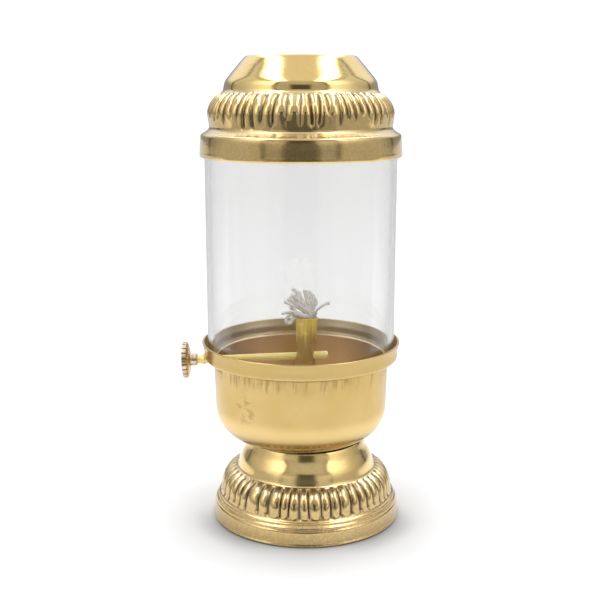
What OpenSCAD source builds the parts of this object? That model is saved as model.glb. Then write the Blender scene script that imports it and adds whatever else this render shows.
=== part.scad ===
// Akhand diya: a brass oil lamp with a glass chimney, a vented brass cap and a
// cotton wick that a side knob raises and lowers.
// Millimetres, +Z up. The origin is the centre of the foot, on the surface that
// the lamp stands on. The knob points along -X.

/* [Foot] */
// Outside radius of the foot where it meets the table
foot_r = 46; // [42:0.5:52]
// Height of the foot, up to the bowl that it carries
foot_h = 39.5; // [34:0.5:48]
// Sheet thickness of the pressed foot and cap
sheet_t = 1; // [0.8:0.1:1.2]
// Distance of the fixing screw from the centre of the bowl floor
off_centre = 2.6; // [0:0.1:4]

/* [Bowl] */
// Outside radius of the bowl wall just under the glass ledge
bowl_r = 42.2; // [40:0.1:43]
// Outside radius of the bowl wall where the floor curve starts
bowl_low_r = 41.6; // [38:0.1:42]
// Height from the bowl floor to the ledge that the glass stands on
bowl_h = 40.9; // [38:0.1:50]
// Outside radius of the curve between wall and floor
bowl_corner_r = 16.5; // [8:0.5:20]
// Sheet thickness of the bowl
bowl_t = 1.2; // [1:0.1:1.4]
// Outside radius of the rim at its lip
rim_r = 47.7; // [47.5:0.1:49]
// Height of the rim above the glass ledge
rim_h = 7.2; // [5:0.1:12]

/* [Chimney] */
// Outside radius of the glass tube
glass_r = 45; // [44.6:0.1:45.2]
// Wall of the glass tube
glass_t = 2.5; // [2:0.1:3]
// Length of the glass tube
glass_h = 105.9; // [80:0.1:160]

/* [Cap] */
// Outside radius of the cap skirt at its lower lip
cap_r = 47.4; // [47.2:0.1:49]
// Height of the cap, from the skirt's lip to the vent
cap_h = 45.7; // [42:0.1:56]
// Radius of the vent in the top of the cap
vent_r = 21; // [12:0.5:23]

/* [Wick drive] */
// Radius of the spindle
spindle_r = 1.85; // [1.6:0.05:1.85]
// Depth of the spindle axis under the glass ledge, at the wick tube
spindle_drop = 0.5; // [0.5:0.1:1.6]
// How far the spindle falls towards its knob, in degrees
spindle_tilt = 2.4; // [2.4:0.1:3]
// Distance of the spindle in front of the wick tube's centre
spindle_fwd = 1.4; // [1.3:0.1:1.5]
// Length of the spindle past the wick tube's centre
spindle_past = 10.6; // [6:0.2:14]
// Distance from the wick tube's centre to the outer face of the knob
knob_reach = 59.9; // [59.7:0.1:66]
// Radius of the knob disc
knob_r = 8.8; // [6:0.1:10]
// Thickness of the knob disc
knob_t = 2.7; // [2:0.1:2.8]
// Number of notches round the knob
knob_notches = 20; // [12:1:26]
// Radius of the wick wheel over its teeth
wheel_r = 3.4; // [3.2:0.05:3.45]
// Number of teeth on the wick wheel
wheel_teeth = 10; // [8:1:12]

/* [Wick tube] */
// Outside radius of the wick tube
tube_r = 5.3; // [5.2:0.05:5.6]
// Wall of the wick tube
tube_t = 0.6; // [0.5:0.05:0.6]
// Half width of the tube where it is pinched at the spindle
pinch_w = 4.2; // [4.1:0.05:4.6]
// Height of the wick tube's mouth above the glass ledge
mouth_h = 18.3; // [13.6:0.1:24]

/* [Hidden] */
$fn = 96;

screw_r = 2.45;              // M5 machine screw
screw_hole_r = 2.75;
seal_t = 1;
flange_t = 2.2;
flange_r = 9;
spigot_h = 5.6;
hub_r = 3;
hub_l = 4.4;
bush_r = 2.15;               // sleeve of the spindle bush
bush_flare = 2.7;            // its flared outer end, against the rim
fit = 0.05;                  // radial clearance of the running fits
gap = 0.3;                   // clearance between moving and fixed pieces
floor_z = foot_h;            // outside of the bowl floor
ledge_z = floor_z + bowl_h;  // top of the glass ledge
rim_z = ledge_z + rim_h;
glass_z = ledge_z + 0.05;
cap_z = glass_z + glass_h - 10.6;   // lip of the cap's skirt
stack_z = floor_z + bowl_t + seal_t;
spindle_z = ledge_z - spindle_drop;
mouth_z = ledge_z + mouth_h;
tube_z = stack_z + flange_t; // lower end of the wick tube
pinch_c = PI / 2 * (tube_r - pinch_w);   // the pinch keeps the tube's girth
pinch_lo = spindle_z + 1;
pinch_hi = spindle_z + 4.2;
round_z = spindle_z - 4.2;   // below this the tube is round
strand_front = wheel_r - spindle_fwd + gap;

// ---- curve helpers -------------------------------------------------------

// Points on an arc from angle a to angle b
function arc(cx, cy, r, a, b, n = 8) =
    [for (i = [0 : n]) let (t = a + (b - a) * i / n) [cx + r * cos(t), cy + r * sin(t)]];

// One round of corner cutting on an open run of points
function cut_once(p) = concat([p[0]],
    [for (i = [0 : len(p) - 2], k = [0.25, 0.75]) p[i] * (1 - k) + p[i + 1] * k],
    [p[len(p) - 1]]);
function soften(p, n = 2) = n == 0 ? p : soften(cut_once(p), n - 1);

// Unit normal on the left of the run at point i
function unit(v) = v / norm(v);
function left(v) = [-v[1], v[0]];
function normal_at(p, i) =
    let (a = p[max(i - 1, 0)], b = p[min(i + 1, len(p) - 1)]) left(unit(b - a));

// A run of points moved to its left by t: the other side of a sheet
function beside(p, t) = [for (i = [0 : len(p) - 1]) p[i] + t * normal_at(p, i)];
function reversed(p) = [for (i = [len(p) - 1 : -1 : 0]) p[i]];

// ---- outlines (radius, height) -------------------------------------------

// Foot: from the top plate down the cone, over the fluted swelling and the two
// beads to the plain band at the table
foot_k = foot_r / 46;
foot_m = foot_h / 39.5;
foot_line = [for (p = concat(
        soften([[26.2, 39.5], [27.5, 39.5], [28.1, 38.6]]),
        soften([[28.6, 37.2], [29.4, 35], [30.9, 32.4], [32.3, 30], [33, 28.6], [33.3, 27.2],
                [33.6, 25.9], [34.7, 25], [37.2, 24.4], [39.3, 22.4], [40.8, 19.8],
                [41.6, 17], [42, 14.4], [41.8, 12.6], [42.3, 11.8]]),
        soften([[42.8, 11.4], [43.4, 11.2], [43.4, 10.4], [43.2, 10]], 1),
        soften([[43.4, 9.8], [44.2, 9.6], [44.3, 8.8], [44, 8.4]], 1),
        soften([[44.6, 8.2], [45.4, 7.6], [45.6, 6], [46, 1.4], [46, 0.5]]),
        [[45.6, 0]]))
    [p[0] * foot_k, p[1] * foot_m]];

// The same line without its small mouldings: the sheet's inside follows this
foot_plain = [for (p = soften([[25, 39.5], [27.2, 39.3], [29.4, 35], [32.2, 30], [33.1, 27.6],
        [33.6, 25.5], [36.4, 24.5], [39.2, 22.2], [40.8, 19.6], [41.6, 17], [42, 14.6],
        [41.9, 12.6], [43.2, 10.6], [44.2, 8.6], [45.4, 7], [45.8, 4.6], [46, 1.8]]))
    [p[0] * foot_k, p[1] * foot_m]];

// Cap: from the vent down the crown and neck, over the fluted swelling and the
// shoulder that sits on the glass, to the lip of the skirt
cap_k = cap_r / 47.4;
cap_m = cap_h / 45.7;
cap_line = [for (p = concat(
        soften([[24, 45.7], [25.2, 45.7], [26.2, 44.9]]),
        soften([[28.6, 42.2], [31.8, 38.4], [34.8, 34.8], [35.4, 33], [35.7, 31.2],
                [35.9, 29.4], [36.7, 28.3], [40, 27], [42.2, 24], [43.4, 20.6], [43.2, 18.2],
                [42.8, 15.8], [42.5, 14], [42.9, 13]]),
        soften([[43.6, 12.6], [45.2, 11.4], [46.6, 10.8], [46.8, 8.8], [47, 6]]),
        [[47.2, 2], [47.4, 0.5], [47.1, 0]]))
    [p[0] * cap_k, cap_z + p[1] * cap_m]];
cap_plain = [for (p = soften([[23, 45.7], [25.6, 45.4], [28.6, 42.2], [31.8, 38.4], [34.8, 34.8],
        [35.5, 32.8], [35.8, 30.4], [36.7, 28.4], [40, 27], [42.2, 24], [43.4, 20.6],
        [43.2, 18], [42.6, 15.4], [42.6, 13.4], [44.6, 12], [46.4, 11], [46.8, 8.8], [47, 6],
        [47.2, 2], [47.4, 0.4]]))
    [p[0] * cap_k, cap_z + p[1] * cap_m]];

// Bowl: from the floor's centre up the wall, out under the ledge, up the rim
bowl_line = concat(
    [[0, floor_z]],
    arc(bowl_low_r - bowl_corner_r, floor_z + bowl_corner_r, bowl_corner_r, -90, 0, 12),
    [[bowl_r, ledge_z - bowl_t - 1]],
    arc(bowl_r + 0.8, ledge_z - bowl_t - 0.8, 0.8, 180, 90, 4),
    arc(rim_r - 2.55, ledge_z - bowl_t + 1.6, 1.6, -90, 0, 5),
    soften([[rim_r - 0.9, ledge_z + 2], [rim_r - 0.8, ledge_z + 0.5 * rim_h],
            [rim_r - 0.4, rim_z - 1.8], [rim_r, rim_z - 0.3]], 1),
    [[rim_r - 0.25, rim_z]]);

// ---- shared shapes -------------------------------------------------------

module on_bowl_axis() { translate([-off_centre, 0, 0]) children(); }

module ring(ro, ri, h) {
    difference() {
        cylinder(r = ro, h = h);
        translate([0, 0, -1]) cylinder(r = ri, h = h + 2);
    }
}

// Everything that turns with the knob is drawn along +Z with 0 at the wick
// tube's centre, then laid along the spindle
module along_spindle() {
    translate([0, -spindle_fwd, spindle_z]) rotate([0, 90 - spindle_tilt, 0]) children();
}

module spindle_hole() {
    along_spindle() translate([0, 0, -56]) cylinder(r = spindle_r + fit, h = 74);
}

// Flat oval slice of the pinched tube
module oval(w, z, h) {
    for (s = [-1, 1]) translate([0, s * pinch_c, z]) cylinder(r = w, h = h, $fn = 40);
}

// Round at both ends and pinched from the sides at the spindle
module pinched(r, w, z0, z1) {
    translate([0, 0, z0]) cylinder(r = r, h = round_z - z0);
    hull() {
        translate([0, 0, round_z - 0.2]) cylinder(r = r, h = 0.2, $fn = 40);
        oval(w, pinch_lo, 0.2);
    }
    hull() oval(w, pinch_lo, pinch_hi - pinch_lo);
    hull() {
        oval(w, pinch_hi - 0.2, 0.2);
        translate([0, 0, z1 - 0.2]) cylinder(r = r, h = 0.2, $fn = 40);
    }
}

// ---- fixed pieces --------------------------------------------------------

// Pressed hollow foot with a flat top plate and a turned-in lower edge
module foot() {
    color("goldenrod") rotate_extrude() polygon(concat(
        [[screw_hole_r, foot_h]], foot_line,
        [[44.2 * foot_k, 0], [44.2 * foot_k, 1.2]],
        reversed(beside(foot_plain, -sheet_t)),
        [[screw_hole_r, foot_h - sheet_t]]));
}

// Spun oil bowl with a ledge for the glass and a rim round it
module oil_bowl() {
    color("burlywood") difference() {
        on_bowl_axis() rotate_extrude() polygon(concat(
            bowl_line,
            [[rim_r - 0.75, rim_z], [rim_r - 1, rim_z - 0.3]],
            soften([[rim_r - 1.1, rim_z - 0.6], [rim_r - 1.5, rim_z - 2.2],
                    [rim_r - 0.8 - bowl_t, ledge_z + 0.5 * rim_h],
                    [rim_r - 0.9 - bowl_t, ledge_z + 1.6], [rim_r - 1 - bowl_t, ledge_z + 0.4]], 1),
            [[rim_r - 1.4 - bowl_t, ledge_z]],
            [[bowl_r - bowl_t + 0.5, ledge_z], [bowl_r - bowl_t, ledge_z - 0.6]],
            reversed(arc(bowl_low_r - bowl_corner_r, floor_z + bowl_corner_r,
                         bowl_corner_r - bowl_t, -90, 0, 12)),
            [[0, floor_z + bowl_t]]));
        translate([0, 0, floor_z - 1]) cylinder(r = screw_hole_r, h = bowl_t + 2);
        along_spindle() translate([0, 0, -56]) cylinder(r = bush_r + 0.01, h = 20);
    }
}

// Pan-head screw that holds the foot, bowl and wick tube together
module centre_screw() {
    head_z = foot_h - sheet_t - 1;
    color("silver") difference() {
        union() {
            translate([0, 0, head_z - 3]) rotate_extrude() polygon(concat(
                [[0, 0]], arc(2.4, 2.1, 2.1, -90, 0, 5), [[4.5, 3], [0, 3]]));
            translate([0, 0, head_z - 0.5]) cylinder(r = screw_r, h = 0.5 + tube_z + 2.6 - head_z);
        }
        translate([-6, -0.6, head_z - 4]) cube([12, 1.2, 2.4]);
    }
}

module base_washer() {
    color("silver") translate([0, 0, foot_h - sheet_t - 1]) ring(9, screw_hole_r, 1);
}

module sealing_washer() {
    color("dimgray") translate([0, 0, floor_z + bowl_t]) ring(8.5, screw_hole_r, seal_t);
}

// Turned boss that the wick tube stands on, tapped for the screw
module tube_foot() {
    color("peru") difference() {
        union() {
            translate([0, 0, stack_z]) rotate_extrude() polygon([
                [0, 0], [flange_r, 0], [flange_r, flange_t - 0.6], [flange_r - 0.6, flange_t],
                [0, flange_t]]);
            translate([0, 0, stack_z]) cylinder(r = tube_r - tube_t - fit, h = flange_t + spigot_h);
        }
        translate([0, 0, stack_z - 1]) cylinder(r = screw_r + fit, h = flange_t + 4.4);
    }
}

// Wick tube: pinched at the spindle, drilled for it and for the oil
module wick_tube() {
    color("darkgoldenrod") difference() {
        pinched(tube_r, pinch_w, tube_z, mouth_z);
        pinched(tube_r - tube_t, pinch_w - tube_t, tube_z - 1, mouth_z + 0.15);
        spindle_hole();
        for (a = [0, 90]) translate([0, 0, tube_z + spigot_h + 4.4]) rotate([90, 0, a])
            translate([0, 0, -10]) cylinder(r = 2, h = 20);
    }
}

// Sleeve that the spindle turns in, fixed in the corner under the glass ledge
module spindle_bush() {
    seat = off_centre + rim_r - 0.85;
    color("gold") along_spindle() mirror([0, 0, 1]) rotate_extrude() polygon([
        [spindle_r + fit, bowl_r], [bush_r, bowl_r], [bush_r, seat], [bush_flare, seat],
        [bush_flare - 0.25, seat + 0.7], [bush_r + 0.1, seat + 1.4], [bush_r - 0.1, seat + 2.1],
        [spindle_r + fit, seat + 2.1]]);
}

// ---- pieces that turn with the knob --------------------------------------

module spindle() {
    l = knob_reach - 1 + spindle_past;
    color("gold") along_spindle() translate([0, 0, 1 - knob_reach]) rotate_extrude() polygon([
        [0, 0], [spindle_r, 0], [spindle_r, l - 0.6], [spindle_r - 0.6, l], [0, l]]);
}

module wick_wheel() {
    color("gold") along_spindle() translate([0, 0, -1.3]) difference() {
        linear_extrude(2.6) polygon([for (i = [0 : wheel_teeth - 1], k = [0, 0.28, 0.5, 0.78])
            let (a = 360 * (i + k) / wheel_teeth,
                 r = k < 0.4 ? wheel_r : wheel_r - 0.8) [r * cos(a), r * sin(a)]]);
        translate([0, 0, -1]) cylinder(r = spindle_r + 0.01, h = 5);
    }
}

// Turned knob: a notched disc with a domed back, on a short hub
module knob() {
    web = knob_r - hub_r;
    color("rosybrown") along_spindle() translate([0, 0, -knob_reach]) difference() {
        rotate_extrude() polygon([
            [0, 0], [knob_r - 0.4, 0], [knob_r, 0.4], [knob_r, knob_t - 1],
            [knob_r - 0.2, knob_t - 0.5], [knob_r - 0.7, knob_t], [hub_r + 0.72 * web, knob_t + 0.35],
            [hub_r + 0.35 * web, knob_t + 0.75], [hub_r + 0.4, knob_t + 0.85],
            [hub_r, knob_t + 1.2], [hub_r, knob_t + hub_l - 0.4], [hub_r - 0.4, knob_t + hub_l],
            [0, knob_t + hub_l]]);
        translate([0, 0, 1]) cylinder(r = spindle_r + 0.01, h = 20);
        for (i = [0 : knob_notches - 1]) rotate([0, 0, 360 * (i + 0.5) / knob_notches])
            translate([knob_r - 0.5, -0.3, -1]) cube([2, 0.6, knob_t + 2]);
    }
}

// ---- wick ----------------------------------------------------------------

// Bundle of cotton strands: flat where it passes the wheel, spread in a tuft
// above the mouth
module wick() {
    core_z = tube_z + spigot_h + 0.4;
    color("whitesmoke") union() {
        intersection() {
            translate([0, 0, core_z]) cylinder(r = tube_r - tube_t - gap, h = mouth_z + 1.4 - core_z);
            translate([0, pinch_c, core_z]) cylinder(r = pinch_w - tube_t - gap, h = mouth_z + 2 - core_z);
            translate([-8, strand_front, core_z - 1]) cube([16, 8, mouth_z + 4 - core_z]);
        }
        translate([-0.8, 0, mouth_z + 0.4]) rotate_extrude() polygon(concat([[0, 0]],
            soften([[4.2, 0], [6, 4.4], [8, 8.6], [6.4, 13], [2.4, 15.2]], 2), [[0, 15.2]]));
    }
}

// ---- lift-off pieces -----------------------------------------------------

module glass_chimney() {
    ri = glass_r - glass_t;
    color("lightcyan", 0.3) on_bowl_axis() translate([0, 0, glass_z]) rotate_extrude() polygon([
        [ri + 0.4, 0], [glass_r - 0.4, 0], [glass_r, 0.4], [glass_r, glass_h - 0.4],
        [glass_r - 0.4, glass_h], [ri + 0.4, glass_h], [ri, glass_h - 0.4], [ri, 0.4]]);
}

// Pressed cap with a vent; its shoulder sits on the top edge of the glass
module cap() {
    color("goldenrod") on_bowl_axis() rotate_extrude() polygon(concat(
        [[vent_r, cap_z + cap_h]], cap_line,
        reversed(beside(cap_plain, -sheet_t)),
        [[vent_r, cap_z + cap_h - sheet_t]]));
}

foot();
oil_bowl();
centre_screw();
base_washer();
sealing_washer();
tube_foot();
wick_tube();
spindle_bush();
spindle();
wick_wheel();
knob();
wick();
glass_chimney();
cap();
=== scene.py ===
import math
import random

import bmesh
import bpy
import numpy as np
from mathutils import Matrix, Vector


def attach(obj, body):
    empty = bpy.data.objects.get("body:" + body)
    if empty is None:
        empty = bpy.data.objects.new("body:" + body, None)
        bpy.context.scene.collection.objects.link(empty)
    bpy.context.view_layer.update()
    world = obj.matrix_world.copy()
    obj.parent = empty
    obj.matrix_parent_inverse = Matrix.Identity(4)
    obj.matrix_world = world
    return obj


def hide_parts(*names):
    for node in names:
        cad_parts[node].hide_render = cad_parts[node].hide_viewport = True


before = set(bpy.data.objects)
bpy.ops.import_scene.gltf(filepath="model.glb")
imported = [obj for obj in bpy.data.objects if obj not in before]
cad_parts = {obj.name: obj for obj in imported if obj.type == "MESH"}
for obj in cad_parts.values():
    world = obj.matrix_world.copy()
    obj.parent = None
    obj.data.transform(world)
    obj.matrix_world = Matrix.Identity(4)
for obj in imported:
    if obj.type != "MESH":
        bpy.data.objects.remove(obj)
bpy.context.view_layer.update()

scene = bpy.context.scene
MM = 0.001

# ------------------------------------------------------------------ camera
F_PX = 1014.9
PITCH = math.radians(12.08)
CAM = np.array([-3.0, -478.3, 209.3])

cam_data = bpy.data.cameras.new("camera")
cam_data.sensor_width = 36
cam_data.lens = F_PX * 36 / 600
cam_data.clip_start, cam_data.clip_end = 0.01, 20
cam = bpy.data.objects.new("camera", cam_data)
cam.location = CAM * MM
cam.rotation_euler = (math.pi / 2 - PITCH, 0, 0)
scene.collection.objects.link(cam)
scene.camera = cam


def at(px, py, y):
    """The point (mm) seen at that pixel of the 600 x 600 frame, at depth y."""
    a, b = (px - 300) / F_PX, (300 - py) / F_PX
    d = np.array([a, b * math.sin(PITCH) + math.cos(PITCH), b * math.cos(PITCH) - math.sin(PITCH)])
    return CAM + d * (y - CAM[1]) / d[1]


# ------------------------------------------------------- outlines (R, z), mm
BOWL_X = -2.6          # axis of bowl, glass and cap; the foot's axis is x = 0
CAP_Z = 175.75
LEDGE_Z = 80.4
RIM_Z = 87.6
SPINDLE = np.array([0, -1.4, 79.9])
AXIS = np.array([math.cos(math.radians(2.4)), 0, math.sin(math.radians(2.4))])


def soften(p, n=3):
    p = np.array(p, float)
    for _ in range(n):
        q = np.empty((2 * len(p) - 2, 2))
        q[0::2] = 0.75 * p[:-1] + 0.25 * p[1:]
        q[1::2] = 0.25 * p[:-1] + 0.75 * p[1:]
        p = np.vstack([p[:1], q, p[-1:]])
    return p


def arc(cx, cy, r, a, b, n=12):
    t = np.radians(np.linspace(a, b, n + 1))
    return np.stack([cx + r * np.cos(t), cy + r * np.sin(t)], 1)


def offset(p, d):
    """The open line p moved to its right by d."""
    t = np.gradient(p, axis=0)
    t /= np.linalg.norm(t, axis=1)[:, None]
    return p + d * np.stack([t[:, 1], -t[:, 0]], 1)


def dense(p, step):
    """p with points added so that none are further apart than step."""
    out = [p[0]]
    for a, b in zip(p[:-1], p[1:]):
        gap = np.linalg.norm(b - a)
        if gap < 1e-4:
            continue
        n = max(1, int(math.ceil(gap / step)))
        out += [a + (b - a) * k / n for k in range(1, n + 1)]
    return np.array(out)


def even(p, step):
    """p drawn again with points at about even distances."""
    p = np.array(p)
    s = np.concatenate([[0], np.cumsum(np.linalg.norm(np.diff(p, axis=0), axis=1))])
    t = np.linspace(0, s[-1], max(3, int(round(s[-1] / step)) + 1))
    return np.stack([np.interp(t, s, p[:, 0]), np.interp(t, s, p[:, 1])], 1)


# ----------------------------------------------------------- mesh helpers
def make(name, verts, faces, sharp=35):
    me = bpy.data.meshes.new(name)
    me.from_pydata([tuple(v) for v in np.asarray(verts, float) * MM], [], [tuple(f) for f in faces])
    me.validate()
    bm = bmesh.new()
    bm.from_mesh(me)
    bmesh.ops.recalc_face_normals(bm, faces=bm.faces)
    for f in bm.faces:
        f.smooth = True
    for e in bm.edges:
        if len(e.link_faces) == 2 and e.calc_face_angle(0) > math.radians(sharp):
            e.smooth = False
    bm.to_mesh(me)
    bm.free()
    o = bpy.data.objects.new(name, me)
    scene.collection.objects.link(o)
    return o


def ring_faces(rows, cols):
    """Quads of a grid that closes round both ways."""
    r, c = np.meshgrid(np.arange(rows), np.arange(cols), indexing="ij")
    a = r * cols + c
    b = r * cols + (c + 1) % cols
    d = ((r + 1) % rows) * cols + c
    e = ((r + 1) % rows) * cols + (c + 1) % cols
    return np.stack([a, b, e, d], -1).reshape(-1, 4)


def turned(loop, cols, x0=0.0):
    """Vertices of the closed outline loop turned about the upright axis at x0."""
    th = np.linspace(0, 2 * math.pi, cols, endpoint=False)
    R, z = loop[:, 0][:, None], loop[:, 1][:, None]
    return np.stack([x0 + R * np.cos(th), R * np.sin(th), z + 0 * th], -1).reshape(-1, 3)


def along_axis(loop, cols):
    """Vertices of an outline (distance along the spindle, radius) turned about the spindle."""
    u = np.array([-AXIS[2], 0, AXIS[0]])
    v = np.array([0, 1.0, 0])
    th = np.linspace(0, 2 * math.pi, cols, endpoint=False)
    s, r = loop[:, 0][:, None, None], loop[:, 1][:, None, None]
    return (SPINDLE + s * AXIS + r * (np.cos(th)[None, :, None] * u + np.sin(th)[None, :, None] * v)).reshape(-1, 3)


def attribute(o, name, values):
    a = o.data.attributes.new(name, "FLOAT", "POINT")
    a.data.foreach_set("value", np.asarray(values, np.float32).ravel())


def ripple(seed, n, k_lo, k_hi, s_lo, s_hi):
    """A smooth random function of (angle, height), about -1 to 1, that closes round the axis."""
    rng = random.Random(seed)
    w = [(rng.randint(k_lo, k_hi), rng.uniform(s_lo, s_hi) * rng.choice((-1, 1)), rng.uniform(0, 6.283)) for _ in range(n)]

    def f(th, z):
        return sum(np.sin(k * th + s * z + p) for k, s, p in w) / math.sqrt(n) / 1.6
    return f


def smooth01(x, a, b):
    t = np.clip((x - a) / (b - a), 0, 1)
    return t * t * (3 - 2 * t)


# ------------------------------------------------------- fluted foot and cap
T_COLS = np.array([0, 0.035, 0.08, 0.14, 0.22, 0.32, 0.44, 0.56, 0.68, 0.78, 0.86, 0.92, 0.965])


def fluted(name, outer, inner, lead, zone, grooves, seed, depth_at, width_at, x0, wild):
    """A pressed shell whose outside carries a row of lobes.
    outer: outside line from the top down; inner: inside line from the bottom up; lead: points that close the
    section at the hole; zone: heights where the row starts and ends; grooves: angles of the grooves, rising; wild: how uneven they are."""
    rng = random.Random(seed)
    n = len(grooves)
    # points of the section, finer in the row of lobes
    parts = []
    step = np.where((outer[:, 1] < zone[0] + 1) & (outer[:, 1] > zone[1] - 1), 0.50, 1.2)
    line = [outer[0]]
    for i in range(1, len(outer)):
        a, b = outer[i - 1], outer[i]
        gap = np.linalg.norm(b - a)
        k = max(1, int(math.ceil(gap / step[i])))
        line += [a + (b - a) * j / k for j in range(1, k + 1)]
    line = np.array(line)
    keep = [0]
    for i in range(1, len(line)):
        least = 0.49 if zone[1] < line[i][1] < zone[0] - 1 else 0.36
        if np.linalg.norm(line[i] - line[keep[-1]]) > least or i == len(line) - 1:
            keep.append(i)
    line = line[keep]
    tan = np.gradient(line, axis=0)
    tan /= np.linalg.norm(tan, axis=1)[:, None]
    nor = np.stack([-tan[:, 1], tan[:, 0]], 1)          # outward, for a line that runs down
    if nor[len(nor) // 2, 0] < 0:
        nor = -nor
    # distance along the line inside the zone, 0 to 1
    cum = np.concatenate([[0], np.cumsum(np.linalg.norm(np.diff(line, axis=0), axis=1))])
    s0 = np.interp(-zone[0], -line[:, 1], cum)
    s1 = np.interp(-zone[1], -line[:, 1], cum)
    s = (cum - s0) / (s1 - s0)
    sc = np.clip(s, 0, 1)
    g = np.array(grooves, float)
    g2 = np.roll(g, -1)
    g2[-1] += 360
    slant = np.array([rng.uniform(-1, 1) for _ in range(n)]) * 1.2 * wild
    slant2 = np.roll(slant, -1)
    bend = np.array([rng.uniform(-1, 1) for _ in range(n)]) * wild
    bend2 = np.roll(bend, -1)
    deep = np.stack([depth_at(s, rng) for _ in range(n)])
    deep2 = np.roll(deep, -1, axis=0)
    cols = n * len(T_COLS)
    th = np.zeros((len(line), cols))
    h = np.zeros((len(line), cols))
    cav = np.zeros((len(line), cols))
    for i in range(n):
        c = slice(i * len(T_COLS), (i + 1) * len(T_COLS))
        wob = (sc[:, None] - 0.5)
        lo = g[i] + slant[i] * wob + bend[i] * (wob ** 2 - 0.1)
        hi = g2[i] + slant2[i] * wob + bend2[i] * (wob ** 2 - 0.1)
        th[:, c] = np.radians(lo + (hi - lo) * T_COLS[None, :])
        k = T_COLS[None, :] ** (1 + rng.uniform(-0.22, 0.22)) + 0 * sc[:, None]
        u = np.abs(2 * k - 1)
        d = deep[i][:, None] * (1 - k) + deep2[i][:, None] * k
        a = np.maximum(width_at(s, rng), 0.02)[:, None]
        q = np.clip(u / a, 0, 1)
        crest = (np.sqrt(1 - (0.84 * q) ** 2) - 0.5426) / 0.4574
        h[:, c] = -d * (1 - crest)
        # cavity: how far into a groove a point lies; the brass material uses it for tarnish and painted shade in the
        # grooves
        cav[:, c] = np.clip(d / 0.45, 0, 1) * np.clip(1.15 * q ** 5, 0, 1)
    wave = ripple(seed + 1, 7, 3, 13, 0.05, 0.35)
    fine = ripple(seed + 2, 9, 40, 150, 0.3, 1.1)
    z = line[:, 1][:, None]
    inzone = smooth01(s, -0.02, 0.06) * (1 - smooth01(s, 0.94, 1.02))
    h = h + 0.03 * wave(th, z) + 0.035 * inzone[:, None] * fine(th, z) * np.clip(-2 * h, 0, 1)
    R = line[:, 0][:, None] + h * nor[:, 0][:, None]
    Z = z + h * nor[:, 1][:, None]
    Z = np.maximum(Z, 0.0) if line[-1, 1] < 1 else Z
    rows_out = np.stack([x0 + R * np.cos(th), R * np.sin(th), Z], -1)
    # plain inside, which follows the row of lobes a little
    th_in = th[-1][None, :] + 0 * inner[:, 0][:, None]
    dip = np.minimum(0, 0.45 + np.interp(inner[:, 1], line[::-1, 1], h.min(1)[::-1]))[:, None]
    Ri = inner[:, 0][:, None] + dip
    rows_in = np.stack([x0 + Ri * np.cos(th_in), Ri * np.sin(th_in), inner[:, 1][:, None] + 0 * th_in], -1)
    lead_th = th[0][None, :] + 0 * lead[:, 0][:, None]
    rows_lead = np.stack([x0 + lead[:, 0][:, None] * np.cos(lead_th), lead[:, 0][:, None] * np.sin(lead_th), lead[:, 1][:, None] + 0 * lead_th], -1)
    rows = np.concatenate([rows_out, rows_in, rows_lead])
    o = make(name, rows.reshape(-1, 3), ring_faces(len(rows), cols), sharp=42)
    attribute(o, "cavity", np.concatenate([cav, np.zeros((len(inner) + len(lead), cols))]))
    attribute(o, "inside", np.concatenate([np.zeros_like(cav), np.ones((len(inner) + len(lead), cols))]))
    return o


def groove_angles(front, count, seed, stray):
    """Angles of the grooves in degrees from the front, anticlockwise seen from above: those given and the rest at even steps."""
    rng = random.Random(seed)
    front = sorted(front)
    left = count - len(front)
    a, b = front[-1], front[0] + 360
    step = (b - a) / (left + 1)
    rest = [a + step * (i + 1) + rng.uniform(-stray, stray) * step for i in range(left)]
    return [x - 90 for x in front + rest]


foot_outer = np.vstack([
    [[15.0, 39.5]], soften([[26.2, 39.5], [27.5, 39.5], [28.1, 38.6]]),
    soften([[28.6, 37.2], [29.4, 35.0], [30.9, 32.4], [32.1, 30.2], [32.7, 28.4], [33.2, 26.6], [33.6, 25.2], [33.85, 24.7], [34.6, 24.3], [36.9, 23.4], [39.1, 21.9], [40.7, 19.6],
            [41.6, 17.0], [42.0, 14.4], [42.0, 12.6], [42.15, 11.6], [42.5, 11.2]]),
    soften([[42.8, 11.0], [43.5, 10.7], [43.75, 10.0], [43.6, 9.5]], 2),
    soften([[43.8, 9.3], [44.4, 9.1], [44.7, 8.5], [44.5, 8.0]], 2),
    soften([[44.7, 7.8], [45.2, 7.3], [45.4, 6], [45.6, 2.0], [45.62, 1.4]]), soften([[45.75, 1.25], [46, 1.0], [46, 0.45], [45.8, 0.1]], 2), [[45.6, 0]]])
foot_plain = soften([[25, 39.5], [27.2, 39.3], [29.4, 35], [32.2, 30], [33.0, 27.4], [33.3, 25.4], [33.9, 24.0], [35.8, 22.9], [38.0, 21.2], [39.7, 19.0], [40.9, 16.6],
                     [41.6, 14.2], [41.7, 12.2], [42.9, 10.3], [44.0, 8.3], [45.3, 6.8], [45.8, 4.6], [46, 1.8]], 2)
foot_inner = np.vstack([[[44.2, 0.0], [44.2, 1.2]], even(offset(foot_plain, 1.0), 1.7)[::-1], [[15.0, 38.5]]])
foot_lead = np.array([[2.75, 38.5], [2.75, 39.5]])

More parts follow.
